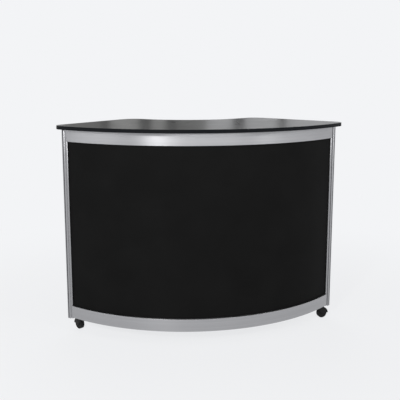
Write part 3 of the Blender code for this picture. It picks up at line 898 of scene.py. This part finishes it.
def add_beams(aluminium, zinc):
    """Eight beams drilled at both ends for the lock screws, and their sixteen locks."""
    for beam in (*RINGS, *SIDES):
        ends = beam_ends(beam)
        *_, bend = ends[0]
        face = inner_face(bend)
        lock = model_lock(f"{beam}_lock", face)
        for level_name, at_top in (("top", True), ("bottom", False)):
            name = f"{beam}_{level_name}"
            beam_z = TOP_BEAM_Z if at_top else BASE_Z
            screw_z = beam_z + (BEAM_HEIGHT - LOCK_LEVEL if at_top else LOCK_LEVEL)
            bar = model_beam(f"{name}_beam", beam, at_top, beam_z)
            for end, upright, heading, inner, _ in ends:
                place = Matrix.Translation(upright + UP * screw_z) @ Matrix.Rotation(heading, 4, "Z")
                if inner < 0:
                    place = place @ Matrix.Rotation(math.pi, 4, "X")
                hole = rod(
                    "screw_hole",
                    LOCK_SCREW_RADIUS + GAP,
                    (LOCK_SCREW_X, face - 2 * BEAM_WALL, 0.0),
                    (LOCK_SCREW_X, face + 2 * BEAM_WALL, 0.0),
                )
                combine(bar, put(hole, place), "DIFFERENCE")
                fitted = copy_of(lock, f"{name}_{end}_lock", place)
                dress(fitted, zinc, "lock_steel", f"lock_{name}_{end}")
            dress(bar, aluminium, "beam_aluminium", f"beam_{name}")
        bpy.data.objects.remove(lock)


# Panels, worktop, base, shelf


def add_panels(sheet):
    """Curved front panel and two flat side panels, their cut edges eased."""
    low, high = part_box("panel_front")[0].z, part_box("panel_front")[1].z
    front = section("front_panel", -PANEL_HALF, PANEL_HALF, 0.0, high - low)
    setback = math.asin(PANEL_EDGE / FRONT_RING_RADIUS)
    bend_along_ring(front, FRONT_RING_RADIUS, low, HALF_ANGLE - setback)
    soften(front, PANEL_EASE)
    dress(front, sheet, "panel_black", "panel_front")
    for side_name, side in SIDES.items():
        flat = section(f"{side_name}_panel", -PANEL_HALF, PANEL_HALF, 0.0, high - low)
        draw_along_side(flat, side, REAR_RING_RADIUS + PANEL_EDGE, FRONT_RING_RADIUS - PANEL_EDGE, low)
        soften(flat, PANEL_EASE)
        dress(flat, sheet, "panel_black", f"panel_{side_name}")


def model_screw():
    """Round-head screw seen from below: domed head under z = 0 with a cross recess."""
    screw = rod("screw", SCREW_RADIUS, (0.0, 0.0, -SCREW_HEIGHT), (0.0, 0.0, 0.0))
    round_edges(
        screw, SCREW_DOME, SCREW_DOME_STEPS, lambda middle, along: middle.z < -STRAIGHT * SCREW_HEIGHT,
    )
    for length, width in ((SCREW_CROSS, SCREW_CROSS_WIDTH), (SCREW_CROSS_WIDTH, SCREW_CROSS)):
        recess = block(
            "recess",
            (-length / 2, -width / 2, -2 * SCREW_HEIGHT),
            (length / 2, width / 2, SCREW_CROSS_DEPTH - SCREW_HEIGHT),
        )
        combine(screw, recess, "DIFFERENCE")
    return screw


def add_screws(name, screw, places, zinc, slot):
    """Group of screws as one piece, each copied to its place."""
    heads = [copy_of(screw, name, place) for place in places]
    activate(heads[0])
    for head in heads:
        head.select_set(True)
    bpy.ops.object.join()
    dress(heads[0], zinc, slot, smooth=ROUND_SMOOTH_ANGLE)


def add_worktop(laminate, banding):
    """Worktop board and the band round its edge."""
    low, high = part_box("worktop_board")[0].z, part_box("worktop_board")[1].z
    board = flat_board("worktop", low, high, *worktop_outline(BAND_THICKNESS + GAP))
    soften(board, BOARD_EASE)
    dress(board, laminate, "worktop_laminate", "worktop_board")
    band = edge_band("worktop_band", low, high)
    soften(band, BAND_EASE)
    dress(band, banding, "worktop_edge", "worktop_edge_band")


def add_battens(plywood, zinc, screw):
    """Two battens along the side beams, with the screws that go up through them into the worktop."""
    batten_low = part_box("worktop_batten_left")[0].z
    near = REAR_RING_RADIUS + BEAM_END
    front_limit = FRONT_RING_RADIUS - BEAM_HALF - LIP_REACH - GAP
    far = math.sqrt(front_limit ** 2 - BATTEN_FAR ** 2)
    for side_name, side in SIDES.items():
        left, right = sorted((-side * BATTEN_NEAR, -side * BATTEN_FAR))
        batten = section(f"{side_name}_batten", left, right, 0.0, TOP_Z - batten_low)
        draw_along_side(batten, side, near, far, batten_low)
        soften(batten, BATTEN_EASE)
        dress(batten, plywood, "batten_plywood", f"worktop_batten_{side_name}")

        outwards = radial(side * HALF_ANGLE)
        inwards = Vector((-side * math.cos(HALF_ANGLE), -math.sin(HALF_ANGLE), 0.0))
        middle = inwards * (BATTEN_NEAR + BATTEN_FAR) / 2
        spots = [outwards * (near + share * (far - near)) for share in BATTEN_SCREW_SHARES]
        places = [Matrix.Translation(ARC_CENTRE + spot + middle + UP * batten_low) for spot in spots]
        add_screws(f"{side_name}_batten_screws", screw, places, zinc, "lock_steel")


def add_base_and_shelf(melamine, aluminium):
    """Base board, shelf, and the two angle rails that carry the shelf."""
    for name in ("base", "shelf"):
        low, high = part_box(f"{name}_board")[0].z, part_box(f"{name}_board")[1].z
        board = flat_board(name, low, high, INNER_FRONT_RADIUS, INNER_REAR_RADIUS, INNER_SIDE)
        soften(board, INNER_BOARD_EASE)
        dress(board, melamine, "board_melamine", f"{name}_board")

    low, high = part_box("shelf_rail_left")[0].z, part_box("shelf_rail_left")[1].z
    height = high - low
    near = REAR_RING_RADIUS + UPRIGHT_HALF + GAP
    far = FRONT_RING_RADIUS - UPRIGHT_HALF - GAP
    for side_name, side in SIDES.items():
        back = -side * RAIL_BACK
        wall = -side * (RAIL_BACK + RAIL_WALL)
        tip = -side * (RAIL_BACK + RAIL_WIDTH)
        rail = section(f"{side_name}_shelf_rail", min(back, tip), max(back, tip), 0.0, height)
        hollow(
            rail, [wall], [height - RAIL_WALL],
            lambda out, up: abs(out) > abs(wall) and up < height - RAIL_WALL,
        )
        draw_along_side(rail, side, near, far, low)
        soften(rail, RAIL_EASE)
        dress(rail, aluminium, "rail_aluminium", f"shelf_rail_{side_name}")


# Casters


def model_plate():
    """Plate with rounded corners and the kingpin riveted in its middle."""
    half = PLATE_SIZE / 2
    plate = block("plate", (-half, -half, PLATE_Z), (half, half, PLATE_Z + PLATE_THICKNESS))
    round_edges(plate, PLATE_ROUND, PLATE_ROUND_STEPS, lambda middle, along: abs(along.z) > STRAIGHT)
    soften(plate, PLATE_EASE)
    pin = rod(
        "kingpin",
        KINGPIN_RADIUS,
        UP * (PLATE_Z - KINGPIN_LENGTH),
        UP * (PLATE_Z + PLATE_THICKNESS / 2),
    )
    soften(pin, PLATE_EASE)
    return combine(plate, pin, "UNION")


def model_cheek(axle):
    """One cheek of the hood, traced flat and stood up: a fan under the arch, and a boss round the axle."""
    centre = Vector((0.0, 0.0, 0.0))
    front = Vector((math.cos(HOOD_FRONT_ANGLE), math.sin(HOOD_FRONT_ANGLE), 0.0)) * CHEEK_RADIUS
    cheek = blank("cheek")
    with editing(cheek, "VERT"):
        start_point((CHEEK_RADIUS, 0.0, 0.0))
        sweep(centre, HOOD_FRONT_ANGLE, WHEEL_STEPS // 2)
        run(Vector((-AXLE_BOSS_RADIUS, 0.0, 0.0)) - front)
        sweep(centre, math.pi, PIN_SIDES // 2)
        run((CHEEK_RADIUS - AXLE_BOSS_RADIUS, 0.0, 0.0))
        raise_outline(HOOD_OUTER_Y - HOOD_INNER_Y)
    outer_face = Matrix.Translation(axle + DEEP * HOOD_OUTER_Y)
    put(cheek, outer_face @ Matrix.Rotation(math.pi / 2, 4, "X"))
    return soften(cheek, CHEEK_EASE)


def model_hood():
    """Hood: an arch with round shoulders, two cheeks drilled for the axle, and the kingpin's socket."""
    axle = Vector((TRAIL, 0.0, WHEEL_RADIUS))
    hood = section("hood", -HOOD_OUTER_Y, HOOD_OUTER_Y, HOOD_INNER_RADIUS, HOOD_OUTER_RADIUS)
    lean = Matrix.Rotation(math.pi / 2 - HOOD_BACK_ANGLE, 4, "Y")
    put(hood, Matrix.Translation(axle) @ lean @ Matrix.Rotation(math.pi / 2, 4, "Z"))
    with editing(hood):
        bpy.ops.mesh.select_all(action="SELECT")
        sweep(axle, HOOD_BACK_ANGLE - HOOD_FRONT_ANGLE, WHEEL_STEPS // 2, DEEP)
        close_up()
    round_edges(
        hood, HOOD_SHOULDER, HOOD_SHOULDER_STEPS,
        lambda middle, along: abs(middle.y) > HOOD_OUTER_Y - CHEEK_EASE
        and math.hypot(middle.x - axle.x, middle.z - axle.z) > HOOD_OUTER_RADIUS - CHEEK_EASE,
    )

    cheek = model_cheek(axle)
    across = Matrix.Translation((0.0, -HOOD_INNER_Y - HOOD_OUTER_Y, 0.0))
    combine(hood, copy_of(cheek, "other_cheek", across), "UNION")
    combine(hood, cheek, "UNION")
    socket = rod("socket", SOCKET_RADIUS, UP * SOCKET_FLOOR_Z, UP * SOCKET_TOP_Z)
    combine(hood, soften(socket, CHEEK_EASE), "UNION")
    bore_floor = PLATE_Z - KINGPIN_LENGTH - KINGPIN_PLAY
    bore = rod("bore", KINGPIN_RADIUS + KINGPIN_PLAY, UP * bore_floor, UP * PLATE_Z)
    combine(hood, bore, "DIFFERENCE")
    hole_end = DEEP * 2 * HOOD_OUTER_Y
    axle_hole = rod("axle_hole", AXLE_RADIUS + GAP, axle - hole_end, axle + hole_end)
    return combine(hood, axle_hole, "DIFFERENCE")


def model_axle():
    """Axle along Y with domed ends."""
    axle = rod("axle", AXLE_RADIUS, (0.0, -AXLE_HALF_LENGTH, 0.0), (0.0, AXLE_HALF_LENGTH, 0.0))
    return soften(axle, AXLE_DOME, AXLE_DOME_STEPS)


def model_wheel():
    """Wheel turned about Y: its half section is drawn in the XY plane, then spun."""
    face = WHEEL_HALF_WIDTH
    rim = WHEEL_RADIUS - WHEEL_RIM
    shoulder = WHEEL_RADIUS - WHEEL_TREAD_ROUND
    corner_y = face - WHEEL_TREAD_ROUND
    # Moves along one flank, from the bore out to the tread
    flank = [
        (HUB_RADIUS - WHEEL_BORE_RADIUS, 0.0, 0.0),
        (0.0, WHEEL_DISH, 0.0),
        (rim - WHEEL_DISH - HUB_RADIUS, 0.0, 0.0),
        (WHEEL_DISH, -WHEEL_DISH, 0.0),
        (shoulder - rim, 0.0, 0.0),
    ]
    wheel = blank("wheel")
    with editing(wheel, "VERT"):
        start_point((WHEEL_BORE_RADIUS, -face, 0.0))
        for move in flank:
            run(move)
        sweep((shoulder, -corner_y, 0.0), math.pi / 2, TREAD_STEPS)
        run((0.0, 2 * corner_y, 0.0))
        sweep((shoulder, corner_y, 0.0), math.pi / 2, TREAD_STEPS)
        for x, y, z in reversed(flank):
            run((-x, y, z))
        run((0.0, -2 * face, 0.0))
        merge_doubles()
        sweep((0.0, 0.0, 0.0), -2 * math.pi, WHEEL_STEPS, DEEP)
        close_up()
    return soften(wheel, WHEEL_EASE)


def add_casters(zinc, nylon, black_steel, polyurethane, screw):
    """Five casters: each part is modelled once and copied to its place in the frame."""
    plate, hood, axle, wheel = model_plate(), model_hood(), model_axle(), model_wheel()
    for name in CASTERS:
        swivel = Vector(JOINTS[f"caster_{name}_swivel"]["pos_m"])
        hub = Vector(JOINTS[f"caster_{name}_wheel_roll"]["pos_m"])
        trail = hub - swivel
        trail_turn = Matrix.Rotation(math.atan2(trail.y, trail.x), 4, "Z")
        pivot = Matrix.Translation((swivel.x, swivel.y, 0.0))
        sideways = 0.0 if name.endswith("centre") else SIDES[name.split("_")[1]]
        plate_place = pivot @ Matrix.Rotation(sideways * HALF_ANGLE, 4, "Z")
        hub_place = Matrix.Translation((hub.x, hub.y, WHEEL_RADIUS)) @ trail_turn

        swivel_body, wheel_body = f"caster_{name}_swivel", f"caster_{name}_wheel"
        fittings = [
            ("plate", plate, plate_place, zinc, "caster_steel", "root", SMOOTH_ANGLE),
            ("hood", hood, pivot @ trail_turn, nylon, "caster_nylon", swivel_body, ROUND_SMOOTH_ANGLE),
            ("axle", axle, hub_place, black_steel, "axle_steel", swivel_body, ROUND_SMOOTH_ANGLE),
            ("wheel", wheel, hub_place, polyurethane, "caster_tread", wheel_body, ROUND_SMOOTH_ANGLE),
        ]
        for part, model, place, finish, slot, body, smooth in fittings:
            piece = copy_of(model, f"{name}_caster_{part}", place)
            dress(piece, finish, slot, f"caster_{name}_{part}", body=body, smooth=smooth)
        offsets = (-PLATE_SCREW_OFFSET, PLATE_SCREW_OFFSET)
        corners = [plate_place @ Matrix.Translation((x, y, PLATE_Z)) for x in offsets for y in offsets]
        add_screws(f"{name}_caster_screws", screw, corners, zinc, "caster_steel")
    for model in (plate, hood, axle, wheel):
        bpy.data.objects.remove(model)


# Studio

BACKGROUND = "#f3f4f6"
FLOOR_COLOUR = "#f0f0f0"
FLOOR_SIZE = 60.0
FLOOR_GLOW = 0.85
FLOOR_NEAR = 0.9
FLOOR_FAR = 2.6
AMBIENT_COLOUR = "#ffffff"
AMBIENT = 0.22

# Lamps: place, point aimed at, width, height, watts
LAMPS = {
    "key_lamp": ((-1.9, -3.6, 2.45), (-0.2, -0.3, 0.8), 0.4, 0.4, 74.0),
    "right_lamp": ((2.5, -2.4, 2.2), (0.2, -0.3, 0.7), 0.4, 0.4, 20.0),
    "front_softbox": ((0.3, -4.6, 1.9), (0.0, -0.3, 0.9), 4.5, 0.6, 44.0),
    "left_softbox": ((-4.2, -1.6, 1.9), (-0.4, -0.1, 0.9), 3.0, 0.6, 27.0),
    "right_softbox": ((4.2, -1.6, 1.9), (0.4, -0.1, 0.9), 3.0, 0.6, 12.0),
    "overhead_softbox": ((0.0, 0.2, 3.4), (0.0, 0.0, 1.0), 2.6, 2.6, 22.0),
    "rear_softbox": ((0.0, 3.9, 1.7), (0.0, 0.0, 0.6), 3.6, 0.9, 75.0),
}

# Lamps that are flagged off the worktop, which would mirror them as glare towards the back
FLAGGED_LAMPS = [name for name in LAMPS if name != "overhead_softbox"]

# Grey cards that stand behind the counter, out of the picture: middle, width and tone, left to right
CARD_Y = 3.0
CARD_HEIGHT = 4.0
DARK_CARD = "#585858"
GREY_CARD = "#9d9d9c"
PALE_CARD = "#d0d0cf"
CARDS = [
    (-0.76, 0.40, GREY_CARD),
    (-0.52, 0.08, DARK_CARD),
    (-0.34, 0.28, PALE_CARD),
    (-0.14, 0.12, DARK_CARD),
    (-0.01, 0.14, PALE_CARD),
    (0.11, 0.10, DARK_CARD),
    (0.31, 0.30, GREY_CARD),
    (0.78, 0.12, DARK_CARD),
    (1.22, 0.08, DARK_CARD),
]

CAMERA_PLACE = (-0.4642, -3.3839, 1.3621)
CAMERA_PAN = 0.1335
CAMERA_PITCH = 0.1709
CAMERA_SENSOR = 36.0
CAMERA_LENS = 59.157
CAMERA_RISE = -0.046


def bare_tree(owner):
    """Node tree of a material or a world, emptied."""
    owner.use_nodes = True
    owner.node_tree.nodes.clear()
    return owner.node_tree


def seen_directly(tree):
    """Output that is 1 for camera, glossy and transmission rays."""
    path = add_node(tree, "LightPath")
    camera_or_gloss = add_node(
        tree, "Math", {0: path.outputs["Is Camera Ray"], 1: path.outputs["Is Glossy Ray"]},
        operation="MAXIMUM",
    )
    seen = add_node(
        tree, "Math", {0: camera_or_gloss.outputs[0], 1: path.outputs["Is Transmission Ray"]},
        operation="MAXIMUM",
    )
    return seen.outputs[0]


def add_world():
    """Pale background for what is seen directly or mirrored, and a soft even light for the rest."""
    world = bpy.data.worlds.new("studio")
    bpy.context.scene.world = world
    tree = bare_tree(world)
    shown = add_node(tree, "Background", values={"Color": linear(BACKGROUND), "Strength": 1.0})
    ambient = add_node(tree, "Background", values={"Color": linear(AMBIENT_COLOUR), "Strength": AMBIENT})
    mixed = add_node(
        tree, "MixShader", {0: seen_directly(tree), 1: ambient.outputs[0], 2: shown.outputs[0]},
    )
    add_node(tree, "OutputWorld", {"Surface": mixed.outputs[0]})


def add_floor():
    """Pale floor that keeps a soft shadow and fades into the background away from the counter."""
    bpy.ops.object.select_all(action="DESELECT")
    bpy.ops.mesh.primitive_plane_add(size=FLOOR_SIZE)
    floor = settle("floor")
    material = bpy.data.materials.new("studio_floor")
    tree = bare_tree(material)
    matt = add_node(tree, "BsdfDiffuse", values={"Color": linear(FLOOR_COLOUR)})
    glow = add_node(tree, "Emission", values={"Color": linear(BACKGROUND), "Strength": 1.0})
    place = add_node(tree, "TexCoord").outputs["Object"]
    distance = add_node(tree, "VectorMath", {0: place}, operation="LENGTH")
    fade = add_node(
        tree, "MapRange", {"Value": distance.outputs["Value"]},
        {"From Min": FLOOR_NEAR, "From Max": FLOOR_FAR, "To Min": FLOOR_GLOW, "To Max": 1.0},
        interpolation_type="SMOOTHSTEP",
    )
    share = add_node(
        tree, "Math", {0: seen_directly(tree), 1: fade.outputs["Result"]}, operation="MULTIPLY",
    )
    mixed = add_node(tree, "MixShader", {0: share.outputs[0], 1: matt.outputs[0], 2: glow.outputs[0]})
    add_node(tree, "OutputMaterial", {"Surface": mixed.outputs[0]})
    floor.data.materials.append(material)


def card_material(colour):
    """Evenly lit card, so that it looks the same from every side."""
    material = bpy.data.materials.new("studio_card")
    tree = bare_tree(material)
    shade = add_node(tree, "Emission", values={"Color": linear(colour), "Strength": 1.0})
    add_node(tree, "OutputMaterial", {"Surface": shade.outputs[0]})
    return material


def add_cards():
    """Cards that the worktop mirrors as soft streaks."""
    for number, (middle, width, colour) in enumerate(CARDS, start=1):
        card = section(f"card_{number}", middle - width / 2, middle + width / 2, 0.0, CARD_HEIGHT)
        put(card, Matrix.Translation((0.0, CARD_Y, 0.0)))
        card.data.materials.append(card_material(colour))
        card.visible_camera = False
        card.visible_diffuse = False
        card.visible_shadow = False


def add_lamps():
    """Soft rectangular lamps, and the flags that keep some of them off the worktop."""
    shaded = bpy.data.collections.new("flagged_worktop")
    shaded.objects.link(bpy.data.objects["worktop"])
    for member in shaded.collection_objects:
        member.light_linking.link_state = "EXCLUDE"
    for name, (place, target, width, height, watts) in LAMPS.items():
        light = bpy.data.lights.new(name, "AREA")
        light.shape = "RECTANGLE"
        light.size = width
        light.size_y = height
        light.energy = watts
        lamp = bpy.data.objects.new(name, light)
        lamp.location = place
        lamp.rotation_euler = (Vector(target) - Vector(place)).to_track_quat("-Z", "Y").to_euler()
        if name in FLAGGED_LAMPS:
            lamp.light_linking.receiver_collection = shaded
        bpy.context.scene.collection.objects.link(lamp)


def add_camera():
    """Camera at the photograph's place and angle."""
    data = bpy.data.cameras.new("camera")
    data.sensor_width = CAMERA_SENSOR
    data.lens = CAMERA_LENS
    data.shift_y = CAMERA_RISE
    camera = bpy.data.objects.new("camera", data)
    camera.location = CAMERA_PLACE
    camera.rotation_euler = (math.pi / 2 - CAMERA_PITCH, 0.0, -CAMERA_PAN)
    bpy.context.scene.collection.objects.link(camera)
    bpy.context.scene.camera = camera


def main():
    bpy.context.scene.view_settings.view_transform = "Standard"
    level_bars = anodised_aluminium("anodised_aluminium_beams", upright=False, roughness=(0.32, 0.40))
    upright_bars = anodised_aluminium("anodised_aluminium_uprights", upright=True, roughness=(0.25, 0.32))
    zinc = zinc_plated_steel()
    screw = model_screw()

    add_uprights(upright_bars)
    add_beams(level_bars, zinc)
    add_panels(black_panel_sheet())
    add_worktop(black_worktop_laminate(), black_edge_banding())
    add_battens(birch_plywood(), zinc, screw)
    add_base_and_shelf(grey_melamine(), level_bars)
    add_casters(zinc, moulded_nylon(), black_oxide_steel(), polyurethane_wheel(), screw)
    bpy.data.objects.remove(screw)

    add_world()
    add_floor()
    add_cards()
    add_lamps()
    add_camera()


main()
